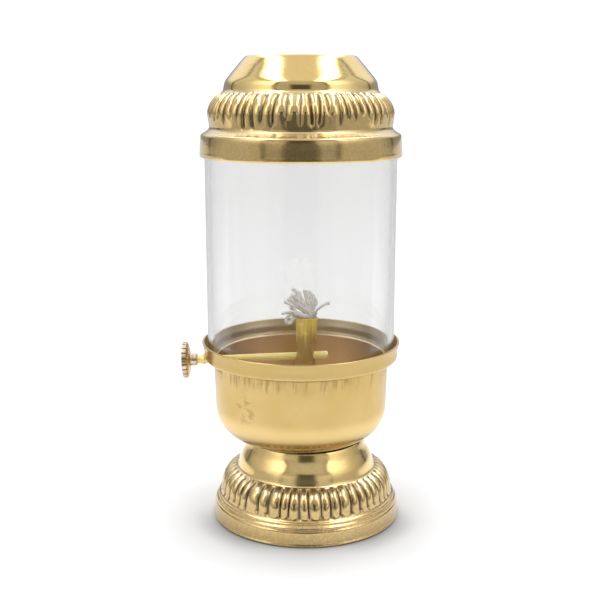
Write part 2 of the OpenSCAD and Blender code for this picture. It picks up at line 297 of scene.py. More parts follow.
cap_outer = np.vstack([
    soften([[24, 45.7], [25.2, 45.7], [26.2, 44.9]]),
    soften([[28.6, 42.2], [31.8, 38.4], [34.8, 34.8], [35.4, 33.1], [35.7, 31.5], [35.95, 30.2], [36.6, 29.4], [38.4, 28.4], [40.3, 26.9], [42.1, 24.5], [43.2, 21.6], [43.4, 19.8],
            [43.2, 18.0], [42.8, 15.8], [42.5, 13.8], [42.8, 12.8]]),
    soften([[43.4, 12.3], [45.0, 11.1], [46.5, 10.4], [46.8, 8.8], [47, 6]]), [[47.2, 2], [47.3, 1.1], [47.1, 0.35], [46.8, 0]]]) + [0, CAP_Z]
cap_plain = soften([[23, 45.7], [25.6, 45.4], [28.6, 42.2], [31.8, 38.4], [34.8, 34.8], [35.5, 32.8], [35.8, 30.4], [36.7, 28.4], [40, 27],
                    [42.2, 24], [43.4, 20.6], [43.2, 18], [42.6, 15.4], [42.6, 13.4], [44.6, 12], [46.4, 11], [46.8, 8.8], [47, 6],
                    [47.2, 2], [47.4, 0.4]], 2) + [0, CAP_Z]
cap_inner = even(offset(cap_plain, 1.0), 1.7)[::-1]
cap_lead = np.array([[21.0, 44.7 + CAP_Z], [21.0, 45.7 + CAP_Z]])

foot_grooves = groove_angles([-44, -33.5, -26, -17.5, -11.5, -5, 1.3, 9.8, 16.3, 22.9, 31.2, 38, 44.5], 52, 11, 0.2)
cap_grooves = groove_angles([-46.4, -40.2, -35.2, -29.8, -23, -16.3, -8.4, -0.2, 5.9, 11.2, 16.8, 23.3, 28, 33, 38, 43.5], 58, 12, 0.3)


def foot_depth(s, rng):
    d, end = rng.uniform(0.9, 1.25), rng.uniform(0.93, 1.02)
    return d * smooth01(s, -0.01, 0.15) * (1 - smooth01(s, end - 0.09, end))


def foot_width(s, rng):
    top = rng.uniform(-0.04, 0.02)
    full = rng.uniform(0.94, 1.0)
    tip = np.sqrt(np.clip(1 - (1 - np.clip((s - top) / 0.12, 0, 1)) ** 2, 0, 1))
    return full * tip - rng.uniform(0.0, 0.05) * smooth01(s, 0.5, 0.95)


def cap_depth(s, rng):
    d, end = rng.uniform(0.75, 1.4), rng.uniform(0.72, 1.08)
    return d * smooth01(s, -0.02, 0.13) * (1 - smooth01(s, end - rng.uniform(0.12, 0.26), end))


def cap_width(s, rng):
    top = rng.uniform(-0.05, 0.03)
    full = rng.uniform(0.92, 1.0)
    tip = np.sqrt(np.clip(1 - (1 - np.clip((s - top) / 0.13, 0, 1)) ** 2, 0, 1))
    return full * tip - rng.uniform(0.0, 0.08) * smooth01(s, 0.5, 0.9)


foot = fluted("foot_shell", foot_outer, foot_inner, foot_lead, (24.4, 11.6), foot_grooves, 21, foot_depth, foot_width, 0.0, 1.2)
cap = fluted("cap_shell", cap_outer, cap_inner, cap_lead, (CAP_Z + 29.4, CAP_Z + 13.6), cap_grooves, 22, cap_depth, cap_width, BOWL_X, 2.0)

# ------------------------------------------------------------------- bowl
bowl_out = np.vstack([
    [[6.0, 39.5]], dense(np.array([[10.0, 39.5], [25.1, 39.5]]), 3.0), arc(25.1, 56, 16.5, -88, 0, 24), dense(np.array([[41.62, 57.0], [42.2, 78.2]]), 1.6),
    arc(43, 78.4, 0.8, 180, 90, 6), arc(45.15, 80.8, 1.6, -90, 0, 8),
    soften([[46.8, 82.4], [46.9, 84], [47.3, 85.8], [47.7, 87.3]], 2), arc(47.4, 87.3, 0.3, 0, 90, 4)])
bowl_in = np.vstack([
    arc(47.0, 87.3, 0.3, 90, 180, 4), soften([[46.6, 87], [46.2, 85.4], [45.7, 84], [45.6, 82], [45.5, 80.8]], 2), [[45.3, 80.5], [45.1, 80.4]],
    [[43.2, 80.4], [41.6, 80.4]], arc(41.6, 79.8, 0.6, 90, 180, 5), dense(np.array([[41.0, 79.2], [40.4, 57.0]]), 1.6), arc(25.1, 56, 15.3, 0, -88, 24),
    dense(np.array([[25.1, 40.7], [6.0, 40.7]]), 3.0)])
bowl_loop = np.vstack([bowl_out, bowl_in])
COLS = 256
bowl_v = turned(bowl_loop, COLS, BOWL_X)
ang = np.tile(np.linspace(0, 2 * math.pi, COLS, endpoint=False), len(bowl_loop))
dent = ripple(31, 8, 2, 9, 0.02, 0.16)
push = 0.05 * dent(ang, bowl_v[:, 2]) * smooth01(bowl_v[:, 2], 42, 50) * (1 - smooth01(bowl_v[:, 2], 74, 78))
bowl_v[:, 0] += push * np.cos(ang)
bowl_v[:, 1] += push * np.sin(ang)
# the floor's two ends close in the middle
n_loop = len(bowl_loop)
quads = ring_faces(n_loop, COLS)
bowl_faces = [q for i, q in enumerate(quads) if i // COLS != n_loop - 1]
bowl_faces += [list(range(COLS))[::-1], list(range((n_loop - 1) * COLS, n_loop * COLS))]
bowl = make("bowl_shell", bowl_v, bowl_faces, sharp=42)
attribute(bowl, "inside", np.repeat(np.concatenate([np.zeros(len(bowl_out)), np.ones(len(bowl_in))]), COLS))


def bore(o, cutter):
    m = o.modifiers.new("bore", "BOOLEAN")
    m.operation, m.solver, m.object = "DIFFERENCE", "EXACT", cutter
    dg = bpy.context.evaluated_depsgraph_get()
    me = bpy.data.meshes.new_from_object(o.evaluated_get(dg))
    o.modifiers.clear()
    old = o.data
    o.data = me
    bpy.data.meshes.remove(old)
    bpy.data.objects.remove(cutter)


def rod_mesh(name, loop, cols):
    """A solid of revolution about the spindle; loop runs from end to end, (s, r)."""
    v = along_axis(loop, cols)
    quads = ring_faces(len(loop), cols)
    f = [q for i, q in enumerate(quads) if i // cols != len(loop) - 1]
    f += [list(range(cols))[::-1], list(range((len(loop) - 1) * cols, len(loop) * cols))]
    return make(name, v, f)


bore(bowl, rod_mesh("cut_bush", np.array([[-56.0, 2.16], [-36.0, 2.16]]), 48))
th48 = np.linspace(0, 2 * math.pi, 48, endpoint=False)
hole = np.concatenate([np.stack([2.75 * np.cos(th48), 2.75 * np.sin(th48), z + 0 * th48], 1) for z in (38.6, 41.6)])
hole_f = [[i, (i + 1) % 48, 48 + (i + 1) % 48, 48 + i] for i in range(48)] + [list(range(48))[::-1], list(range(48, 96))]
bore(bowl, make("cut_screw", hole, hole_f))

# ------------------------------------------------------------------- glass
gz0, gz1 = 80.45, 186.35
glass_loop = np.vstack([
    arc(44.2, gz0 + 0.8, 0.8, -90, 0, 6), dense(np.array([[45.0, gz0 + 1.6], [45.0, gz1 - 1.6]]), 6.0), arc(44.2, gz1 - 0.8, 0.8, 0, 90, 6),
    arc(43.3, gz1 - 0.8, 0.8, 90, 180, 6), dense(np.array([[42.5, gz1 - 1.6], [42.5, gz0 + 1.6]]), 6.0), arc(43.3, gz0 + 0.8, 0.8, 180, 270, 6)])
glass_v = turned(glass_loop, 192, BOWL_X)
glass = make("glass_tube", glass_v, ring_faces(len(glass_loop), 192), sharp=60)

# --------------------------------------------------------------- wick tube
PINCH_W, TUBE_R, PINCH_C = 4.2, 5.3, 1.728
TZ0, TZ1 = 43.9, 98.7


def oval_at(z, th, r_round, r_pinch):
    """Outline of the tube at height z: round, or two half rounds drawn apart along y."""
    k = float(smooth01(np.array([z]), 75.5, 81.3)[0])
    if z > 83.5:
        k = (1 - (z - 83.5) / (TZ1 - 83.5)) ** 1.6
    w = r_round + (r_pinch - r_round) * k
    c = PINCH_C * k
    x, y = np.cos(th), np.sin(th)
    # the flat ovals' outline along direction th, from its centre
    r = np.empty_like(th)
    for i, (a, b) in enumerate(zip(np.abs(x), np.abs(y))):
        flat = w / max(a, 1e-9)
        if flat * b <= c:
            r[i] = flat
        else:
            r[i] = c * b + math.sqrt(max(0.0, w * w - c * c * a * a))
    return np.stack([r * x, r * y], 1)


tcols = 96
tth = np.linspace(0, 2 * math.pi, tcols, endpoint=False)
tz = np.unique(np.concatenate([np.linspace(TZ0, 64, 12), np.linspace(64, 90, 40), np.linspace(90, 98.1, 16), [98.35, 98.55, 98.65, TZ1]]))
seam = math.radians(232)


def tube_rows(zs, inset, lip):
    rows = []
    for z in zs:
        wall = inset * (1 - 0.55 * float(smooth01(np.array([z]), 73, 76)[0] * (1 - smooth01(np.array([z]), 84, 87)[0])))     # thinner round the wheel
        p = oval_at(z, tth, TUBE_R - wall, PINCH_W - wall)
        d = (tth - seam + 0.30 * (TZ1 - z) / 14 + math.pi) % (2 * math.pi) - math.pi
        lap = np.where(d > 0, np.exp(-d / 0.8), np.exp(-(d / 0.06) ** 2)) * 0.30 * smooth01(np.array([z]), 80, 88)[0] * (1 if inset == 0 else 0)
        rad = np.linalg.norm(p, axis=1)
        wob = 0.05 * np.sin(3 * tth + 0.35 * z) * smooth01(np.array([z]), 70, 76)[0]
        k = (rad + lap - lip(z) + wob) / rad
        edge = 0.16 * np.sin(2 * tth + 0.6) + 0.10 * np.sin(5 * tth + 2) + 0.05 * np.sin(9 * tth) - 0.12
        zz = z + (np.minimum(edge, 0) * 1.5 + 0.6 * np.clip(-np.sin(tth), 0, 1)) * smooth01(np.array([z]), 95, TZ1)[0]
        lean = float(np.interp(z, [60, 72, 76, 83, 90, 98.7], [0, -0.85, -0.9, -0.42, 0.0, 0.3]))
        rows.append(np.stack([p[:, 0] * k + lean, p[:, 1] * k, zz], 1))
    return rows


out_rows = tube_rows(tz, 0.0, lambda z: 0.22 * max(0, (z - 98.4) / 0.3) ** 2)
in_rows = tube_rows(tz[::-1], 0.6, lambda z: -0.18 * max(0, (z - 98.4) / 0.3) ** 2)
tv = np.concatenate(out_rows + in_rows)
tube = make("wick_tube_sheet", tv, ring_faces(len(out_rows) + len(in_rows), tcols), sharp=50)
attribute(tube, "inside", np.repeat(np.concatenate([np.zeros(len(out_rows)), np.ones(len(in_rows))]), tcols))
bore(tube, rod_mesh("cut_spindle", np.array([[-20.0, 1.9], [18.0, 1.9]]), 48))
for a in (0, 1):
    ends = [np.stack([2 * np.cos(th48), 2 * np.sin(th48) + 53.9, s + 0 * th48], 1) for s in (-10.0, 10.0)]
    p = np.concatenate(ends)
    p = np.stack([p[:, 0], p[:, 2], p[:, 1]], 1) if a == 0 else np.stack([p[:, 2], p[:, 0], p[:, 1]], 1)
    bore(tube, make("cut_oil", p, hole_f))

# ------------------------------------------------- spindle, bush and knob
rod_loop = np.vstack([[[-58.6, 1.85]], dense(np.array([[-58.5, 1.85], [9.7, 1.85]]), 2.0), arc(9.8, 1.05, 0.8, 90, 0, 6), [[10.6, 0.7], [10.6, 0.25]]])
spindle = rod_mesh("spindle_rod", rod_loop, 64)

seat = 2.6 + 47.7 - 0.85
bush_loop = np.array([[-42.2, 1.9], [-42.2, 2.15], [-seat, 2.15], [-seat, 2.65], [-seat - 0.1, 2.7], [-seat - 0.4, 2.58], [-seat - 0.8, 2.42], [-seat - 1.3, 2.26],
                      [-seat - 1.8, 2.12], [-seat - 2.05, 2.03], [-seat - 2.1, 1.98], [-seat - 2.1, 1.9]])
bush = make("bush_sleeve", along_axis(bush_loop, 64), ring_faces(len(bush_loop), 64))

KS = -59.9
knob_loop = np.vstack([
    [[0.0, 0.6], [0.05, 4.0], [0.0, 7.9]], arc(0.45, 8.35, 0.45, 180, 90, 5), [[0.9, 8.8], [1.5, 8.8]], arc(1.95, 8.3, 0.5, 90, 25, 5), [[2.62, 8.05], [2.95, 7.3], [3.25, 6.2], [3.45, 5.0], [3.55, 3.9]],
    [[3.6, 3.45], [3.72, 3.15], [3.95, 3.02], [5.9, 2.98]], arc(6.5, 2.4, 0.58, 90, 0, 5), [[7.08, 1.87], [5.2, 1.86]]])
knob_loop[:, 0] += KS
kn = 20
kt = np.array([0, 0.05, 0.075, 0.1, 0.16, 0.26, 0.38, 0.5, 0.62, 0.74, 0.84, 0.9, 0.925, 0.95])
kth = np.concatenate([(i + kt) / kn for i in range(kn)]) * 2 * math.pi
rngk = random.Random(5)
deep = np.repeat([rngk.uniform(0.42, 0.62) for _ in range(kn)], len(kt))
notch = np.where((np.tile(kt, kn) < 0.06) | (np.tile(kt, kn) > 0.94), 1.0, np.where((np.tile(kt, kn) < 0.08) | (np.tile(kt, kn) > 0.92), 0.75, np.where((np.tile(kt, kn) < 0.11) | (np.tile(kt, kn) > 0.89), 0.12, 0.0)))
deep2 = deep.reshape(kn, -1).copy()
deep2[:, len(kt) // 2:] = np.roll(deep2[:, :1], -1, axis=0)
deep = deep2.ravel()
ku, kv = np.array([-AXIS[2], 0, AXIS[0]]), np.array([0, 1.0, 0])
knob_v, knob_notch_shade = [], []
for s_, r_ in knob_loop:
    k = float(np.clip((r_ - 7.7) / 0.6, 0, 1)) if KS - 0.1 < s_ < KS + 2.71 else 0.0
    r = r_ - notch * deep * k
    r = np.minimum(r, 8.8)
    knob_v.append(SPINDLE + s_ * AXIS + r[:, None] * (np.cos(kth)[:, None] * ku + np.sin(kth)[:, None] * kv))
    knob_notch_shade.append(notch * k)
knob_cols = len(kth)
quads = ring_faces(len(knob_loop), knob_cols)
knob_f = [q for i, q in enumerate(quads) if i // knob_cols != len(knob_loop) - 1]
knob_f += [list(range(knob_cols))[::-1], list(range((len(knob_loop) - 1) * knob_cols, len(knob_loop) * knob_cols))]
knob = make("knob_turned", np.concatenate(knob_v), knob_f, sharp=38)
attribute(knob, "cavity", np.concatenate(knob_notch_shade))

# -------------------------------------------------------------------- wick
rngw = random.Random(77)
wick_v, wick_f, wick_ply_shade = [], [], []


def spline(p, step):
    p = np.array(p, float)
    q = np.vstack([2 * p[0] - p[1], p, 2 * p[-1] - p[-2]])
    out = []
    for i in range(1, len(q) - 2):
        a, b, c, d = q[i - 1:i + 3]
        n = max(2, int(np.linalg.norm(c - b) / step))
        for t in np.linspace(0, 1, n, endpoint=False):
            out.append(0.5 * (2 * b + (c - a) * t + (2 * a - 5 * b + 4 * c - d) * t ** 2 + (3 * b - a - 3 * c + d) * t ** 3))
    out.append(p[-1])
    return np.array(out)


def strand(points, r, plies=3, turn=1.05, fray=True, sides=15, step=0.28):
    """A twisted cotton strand along points (mm)."""
    c = spline(points, step)
    t = np.gradient(c, axis=0)
    t /= np.linalg.norm(t, axis=1)[:, None]
    n = np.cross(t[0], [0.31, 0.93, 0.2])
    n /= np.linalg.norm(n)
    phi = np.linspace(0, 2 * math.pi, sides, endpoint=False)
    s = 0.0
    base = sum(len(v) for v in wick_v)
    start = rngw.uniform(0, 6.28)
    rows = []
    for i in range(len(c)):
        if i:
            s += np.linalg.norm(c[i] - c[i - 1])
            n = n - t[i] * (n @ t[i])
            n /= np.linalg.norm(n)
        b = np.cross(t[i], n)
        k = i / (len(c) - 1)
        rr = r * (0.94 + 0.08 * math.sin(1.3 * s + start) + 0.05 * math.sin(3.1 * s + 2 * start))
        if fray:
            rr *= 1 + 0.16 * smooth01(np.array([k]), 0.8, 1.0)[0]
        ply = np.abs(np.cos(plies / 2 * (phi - turn * s / r * 0.62 - start)))
        rad = rr * (0.72 + 0.30 * ply ** 0.8)
        # how far into the groove between plies each point lies; the cotton is painted darker there as shade
        wick_ply_shade.append(1 - ply)
        if i == len(c) - 1:
            rad = rad * 0.55
        rows.append(c[i] + rad[:, None] * (np.cos(phi)[:, None] * n + np.sin(phi)[:, None] * b))
    wick_v.extend(rows)
    m = len(rows)
    for i in range(m - 1):
        for j in range(sides):
            wick_f.append([base + i * sides + j, base + i * sides + (j + 1) % sides, base + (i + 1) * sides + (j + 1) % sides, base + (i + 1) * sides + j])
    wick_f.append([base + j for j in range(sides)][::-1])
    wick_f.append([base + (m - 1) * sides + j for j in range(sides)])
    return c, t


def fibre(a, d, length, r=0.035, curl=0.5):
    """A loose hair of cotton."""
    a, d = np.array(a, float), np.array(d, float) / np.linalg.norm(d)
    side = np.cross(d, [rngw.uniform(-1, 1), rngw.uniform(-1, 1), rngw.uniform(-1, 1)])
    side /= np.linalg.norm(side) + 1e-9
    pts = [a + d * length * k + side * curl * length * k * k for k in (0, 0.33, 0.66, 1)]
    base = sum(len(v) for v in wick_v)
    up = np.cross(d, side)
    for i, p in enumerate(pts):
        rr = r * (1 - 0.6 * i / 3)
        wick_v.append(np.array([p + rr * (math.cos(x) * side + math.sin(x) * up) for x in (0, 2.094, 4.189)]))
        wick_ply_shade.append(np.zeros(3))
    for i in range(3):
        for j in range(3):
            wick_f.append([base + i * 3 + j, base + i * 3 + (j + 1) % 3, base + i * 3 + 3 + (j + 1) % 3, base + i * 3 + 3 + j])
    wick_f.append([base, base + 2, base + 1])
    wick_f.append([base + 9, base + 10, base + 11])


def root(x, y):
    """The strand's points inside the tube, up to its mouth."""
    return [(0.7 * x, max(-3.0, min(3.2, 0.7 * y + 1.0)), 88.4), (0.9 * x, 0.9 * y + 0.4, 94.6), (x, y, 98.6)]


def spot(u, v, y):
    """A point of the tuft, by pixel from the tuft's corner and depth."""
    return at(272 + u / 11.5, 280 + v / 11.5, y)


# (x, y) at the mouth, then the points that the strand passes, and its radius
tuft = [
    ((2.2, -2.2), [(425, 370, -4.2), (360, 314, -5.2), (290, 266, -5.6)], 0.92),
    ((2.4, -2.0), [(436, 360, -3.8), (398, 305, -4.8), (348, 244, -5.2)], 0.84),
    ((2.6, -1.8), [(446, 350, -3.4), (432, 300, -4.2), (406, 230, -4.6)], 0.82),
    ((2.8, -1.5), [(458, 345, -2.8), (462, 290, -3.4), (448, 222, -3.6)], 0.80),
    ((1.6, -2.0), [(392, 362, -3.8), (290, 310, -4.8), (205, 270, -5.0), (144, 240, -4.6)], 0.92),
    ((1.4, -1.4), [(372, 336, -2.6), (270, 262, -3.4), (196, 204, -3.4)], 0.90),
    ((1.7, -1.5), [(386, 326, -3.2), (338, 256, -4.2), (288, 190, -4.4)], 0.86),
    ((1.5, -1.0), [(380, 325, -1.8), (300, 225, -2.4), (226, 166, -2.6)], 0.88),
    ((1.8, -0.6), [(396, 320, -1.2), (332, 206, -1.8), (276, 138, -2.0), (236, 94, -1.8)], 0.98),
    ((2.0, -0.8), [(412, 310, -1.4), (390, 200, -1.8), (368, 110, -1.6)], 0.80),
    ((2.2, -1.0), [(424, 305, -1.8), (414, 200, -2.2), (404, 112, -2.0)], 0.80),
    ((2.5, -1.0), [(438, 300, -1.8), (441, 210, -2.2), (434, 126, -2.0)], 0.80),
    ((2.8, -0.9), [(452, 305, -1.6), (468, 222, -1.8), (462, 150, -1.6)], 0.80),
    ((3.0, -0.6), [(466, 312, -1.0), (492, 244, -1.0), (492, 186, -0.8)], 0.80),
    ((3.2, -0.6), [(478, 322, -1.0), (508, 268, -1.2), (514, 220, -1.0)], 0.78),
    ((2.2, 0.6), [(420, 300, 1.6), (420, 190, 2.2), (418, 118, 2.2)], 0.82),
    ((2.9, 0.6), [(456, 300, 1.6), (480, 216, 2.2), (478, 164, 2.0)], 0.82),
    ((1.4, 0.6), [(376, 300, 1.6), (330, 190, 2.2), (300, 132, 2.2)], 0.84),
    ((0.6, 0.4), [(350, 320, 1.2), (262, 226, 1.8), (214, 170, 2.0)], 0.84),
    ((0.4, -0.4), [(340, 336, -0.6), (246, 262, -0.8), (176, 214, -0.6)], 0.84),
    ((0.8, 1.8), [(362, 310, 3.4), (318, 220, 4.8), (286, 172, 5.4)], 0.84),
    ((2.4, 1.8), [(430, 305, 3.4), (446, 220, 4.6), (440, 168, 5.0)], 0.84),
    ((3.0, -1.8), [(464, 394, -3.0), (520, 338, -3.8), (584, 288, -4.2), (662, 252, -4.0)], 0.78),
    ((1.2, -3.0), [(416, 418, -4.2), (356, 392, -4.8), (290, 368, -5.0), (200, 366, -5.2), (112, 381, -5.0)], 0.76),
    ((-2.4, -1.8), [(290, 386, -3.4), (232, 390, -4.2), (184, 412, -4.4), (164, 446, -4.4), (174, 484, -4.4), (196, 497, -4.2), (221, 474, -3.8), (247, 438, -3.2), (276, 404, -2.6)], 0.94),
    ((-2.6, -2.6), [(300, 404, -4.2), (276, 384, -4.8), (258, 372, -4.8)], 0.82),
    ((-1.2, -3.2), [(334, 412, -4.8), (306, 392, -5.4), (282, 380, -5.6)], 0.82),
    ((0.4, -3.4), [(376, 424, -4.6), (350, 404, -5.4), (322, 388, -5.8)], 0.82),
    ((3.6, -1.6), [(490, 404, -2.4), (504, 380, -2.8), (512, 362, -2.8)], 0.76),
    ((-2.6, 0.0), [(280, 370, -0.4), (236, 330, -0.8), (206, 306, -0.8)], 0.84),
]
for (mx, my), path, r in tuft:
    pts = root(mx, my) + [spot(*p) for p in path]
    c, t = strand(pts, r)
    end, d = c[-1], t[-1]
    for _ in range(8):
        fibre(end - d * rngw.uniform(0, 0.6) + np.array([rngw.uniform(-0.5, 0.5) for _ in range(3)]) * r,
              d + 0.7 * np.array([rngw.uniform(-1, 1) for _ in range(3)]), rngw.uniform(0.5, 1.2), 0.05)
    for _ in range(12):
        k = rngw.randrange(len(c) // 3, len(c))
        out = np.cross(t[k], [rngw.uniform(-1, 1) for _ in range(3)])
        out /= np.linalg.norm(out) + 1e-9
        fibre(c[k] + out * r * 0.8, out + t[k] * rngw.uniform(-1.2, 1.2), rngw.uniform(0.3, 0.8), 0.03, 0.9)
# the bundle inside the tube, behind the wheel
for x in (-2.0, -0.7, 0.7, 2.0):
    strand([(x, 3.35 - 0.12 * abs(x), 51.0), (0.95 * x, 3.4 - 0.15 * abs(x), 66.0), (0.9 * x, 3.4 - 0.15 * abs(x), 80.0), (0.9 * x, 2.6, 90.0), (x, 1.6, 99.2)], 0.66, fray=False)
wick = make("wick_strands", np.concatenate(wick_v), wick_f, sharp=80)
attribute(wick, "gap", np.concatenate(wick_ply_shade))

# --------------------------------------------------------- material helpers
class Tree:
    def __init__(self, nt):
        self.nt = nt
        nt.nodes.clear()

    def node(self, kind, ins=None, **kw):
        n = self.nt.nodes.new(kind)
        for k, v in kw.items():
            setattr(n, k, v)
        for k, v in (ins or {}).items():
            self.put(n.inputs[k], v)
        return n

    def put(self, sock, v):
        if isinstance(v, bpy.types.NodeSocket):
            self.nt.links.new(v, sock)
        elif hasattr(sock.default_value, "__len__") and not hasattr(v, "__len__"):
            sock.default_value = [v] * len(sock.default_value)
        elif hasattr(v, "__len__") and len(v) == 3 and len(sock.default_value) == 4:
            sock.default_value = (*v, 1)
        else:
            sock.default_value = v

    def math(self, op, a, b=0.0, c=0.0, clamp=False):
        n = self.node("ShaderNodeMath", operation=op, use_clamp=clamp)
        for i, v in enumerate((a, b, c)):
            self.put(n.inputs[i], v)
        return n.outputs[0]

    def add(self, a, b): return self.math("ADD", a, b)
    def sub(self, a, b): return self.math("SUBTRACT", a, b)
    def mul(self, a, b): return self.math("MULTIPLY", a, b)
    def div(self, a, b): return self.math("DIVIDE", a, b)

    def step(self, x, a, b, lo=0.0, hi=1.0):
        n = self.node("ShaderNodeMapRange", interpolation_type="SMOOTHSTEP")
        for k, v in (("Value", x), ("From Min", a), ("From Max", b), ("To Min", lo), ("To Max", hi)):
            self.put(n.inputs[k], v)
        return n.outputs[0]

    def band(self, x, a, b, c, d):
        """1 between b and c, falling to 0 at a and d."""
        return self.mul(self.step(x, a, b), self.step(x, c, d, 1.0, 0.0))

    def coords(self, scale=(1, 1, 1), loc=(0, 0, 0)):
        """Object coordinates in millimetres, scaled."""
        tc = self.node("ShaderNodeTexCoord")
        m = self.node("ShaderNodeMapping")
        self.nt.links.new(tc.outputs["Object"], m.inputs["Vector"])
        m.inputs["Scale"].default_value = [1000 * s for s in scale]
        m.inputs["Location"].default_value = loc
        return m.outputs[0]

    def xyz(self, v):
        n = self.node("ShaderNodeSeparateXYZ", {0: v})
        return n.outputs[0], n.outputs[1], n.outputs[2]

    def noise(self, v, scale, detail=3.0, rough=0.5, dist=0.0):
        return self.node("ShaderNodeTexNoise", {"Vector": v, "Scale": scale, "Detail": detail, "Roughness": rough, "Distortion": dist}).outputs["Fac"]

    def voronoi(self, v, scale, feature="F1"):
        return self.node("ShaderNodeTexVoronoi", {"Vector": v, "Scale": scale}, feature=feature).outputs["Distance"]

    def mix(self, fac, a, b, blend="MIX"):
        n = self.node("ShaderNodeMix", data_type="RGBA", blend_type=blend)
        self.put(n.inputs[0], fac)
        self.put(n.inputs[6], a)
        self.put(n.inputs[7], b)
        return n.outputs[2]

    def attr(self, name):
        return self.node("ShaderNodeAttribute", attribute_name=name).outputs["Fac"]

    def bump(self, height, dist, strength=1.0, normal=None):
        n = self.node("ShaderNodeBump", {"Height": height, "Distance": dist, "Strength": strength})
        if normal is not None:
            self.nt.links.new(normal, n.inputs["Normal"])
        return n.outputs[0]


def material(name):
    m = bpy.data.materials.new(name)
    m.use_nodes = True
    return m, Tree(m.node_tree)


def close(t, color, rough, normal=None, metallic=1.0, **extra):
    b = t.node("ShaderNodeBsdfPrincipled", {"Base Color": color, "Roughness": rough, "Metallic": metallic})
    if normal is not None:
        t.nt.links.new(normal, b.inputs["Normal"])
    for k, v in extra.items():
        t.put(b.inputs[k.replace("_", " ")], v)
    out = t.node("ShaderNodeOutputMaterial")
    t.nt.links.new(b.outputs[0], out.inputs[0])
    return b


def polished_brass():
    m, t = material("polished_brass")
    v = t.coords()
    z = t.xyz(v)[2]
    big = t.noise(v, 0.055, 2)
    mid = t.noise(v, 0.45, 4)
    brushed = t.noise(t.coords((0.10, 0.10, 5.0)), 1.0, 3, 0.6)
    scratch = t.noise(t.coords((0.35, 0.35, 14.0)), 1.0, 2, 0.7)
    specks = t.step(t.noise(v, 1.1, 2), 0.69, 0.76)
    grit = t.noise(v, 2.6, 3, 0.6)
    cav = t.attr("cavity")
    inside = t.attr("inside")
    skirt = t.band(z, 175.0, 176.4, 185.0, 187.0)
    crown = t.step(z, CAP_Z + 33.5, CAP_Z + 36.0)
    worn = t.math("MAXIMUM", t.step(z, 22, 27, 1.0, 0.0), t.math("MAXIMUM", t.mul(t.band(z, 186, 190, 200, 205), 0.6), t.mul(skirt, 0.6)))
    c = t.mix(t.step(big, 0.35, 0.65), (0.80, 0.57, 0.215), (0.86, 0.64, 0.27))
    c = t.mix(t.mul(t.step(mid, 0.45, 0.75), 0.35), c, (0.74, 0.50, 0.175))
    c = t.mix(t.mul(specks, 0.35), c, (0.36, 0.22, 0.09))
    c = t.mix(t.mul(worn, t.step(t.noise(v, 0.8, 4, 0.6), 0.3, 0.7, 0.3, 0.85)), c, (0.52, 0.365, 0.17))
    c = t.mix(t.mul(worn, t.step(grit, 0.56, 0.70, 0.0, 0.55)), c, (0.36, 0.235, 0.10))
    # painted highlight: the lobes' tips and the step under the cap's lobes get a paler, less saturated colour and more
    # roughness, so that their highlights read cream instead of orange
    painted_tip_highlight = t.math("MAXIMUM", t.band(z, 20.4, 22.4, 24.4, 25.4), t.band(z, CAP_Z + 25.6, CAP_Z + 27.6, CAP_Z + 29.8, CAP_Z + 30.8))
    painted_step_highlight = t.band(z, CAP_Z + 9.8, CAP_Z + 10.6, CAP_Z + 12.6, CAP_Z + 13.4)
    c = t.mix(t.mul(painted_tip_highlight, 0.55), c, (0.76, 0.62, 0.39))
    c = t.mix(t.mul(painted_step_highlight, 0.7), c, (0.60, 0.50, 0.335))
    # tarnish and painted shade: near-black brown down the grooves, by the cavity attribute, a little weaker on the cap
    c = t.mix(t.math("MULTIPLY", cav, t.step(z, 60, 120, 0.93, 0.80), clamp=True), c, (0.085, 0.05, 0.02))
    c = t.mix(t.mul(inside, 0.75), c, (0.62, 0.47, 0.25))
    # painted shade: near-black ring on the foot's top face, where the bowl sits on it
    c = t.mix(t.mul(t.band(z, 38.7, 39.3, 39.7, 40.2), 0.9), c, (0.05, 0.03, 0.012))
    cone = t.band(z, 24, 27, 37, 40)
    r = t.add(t.add(0.07, t.add(t.mul(worn, 0.05), t.add(t.mul(cone, 0.05), t.mul(crown, 0.03)))), t.mul(mid, 0.06))
    r = t.add(r, t.add(t.mul(t.math("MAXIMUM", painted_tip_highlight, t.mul(painted_step_highlight, 1.4)), 0.12), t.add(t.mul(cav, 0.25), t.add(t.mul(inside, 0.3), t.mul(specks, 0.15)))))
    n = t.bump(t.noise(v, 0.22, 2), 0.00004)
    n = t.bump(brushed, 0.000006, normal=n)
    n = t.bump(scratch, 0.000003, normal=n)
    n = t.bump(t.mul(grit, t.math("MAXIMUM", worn, t.mul(crown, 0.8))), 0.00001, normal=n)
    close(t, c, r, n, Coat_Weight=0.6, Coat_Roughness=0.08, Coat_IOR=1.55)
    return m


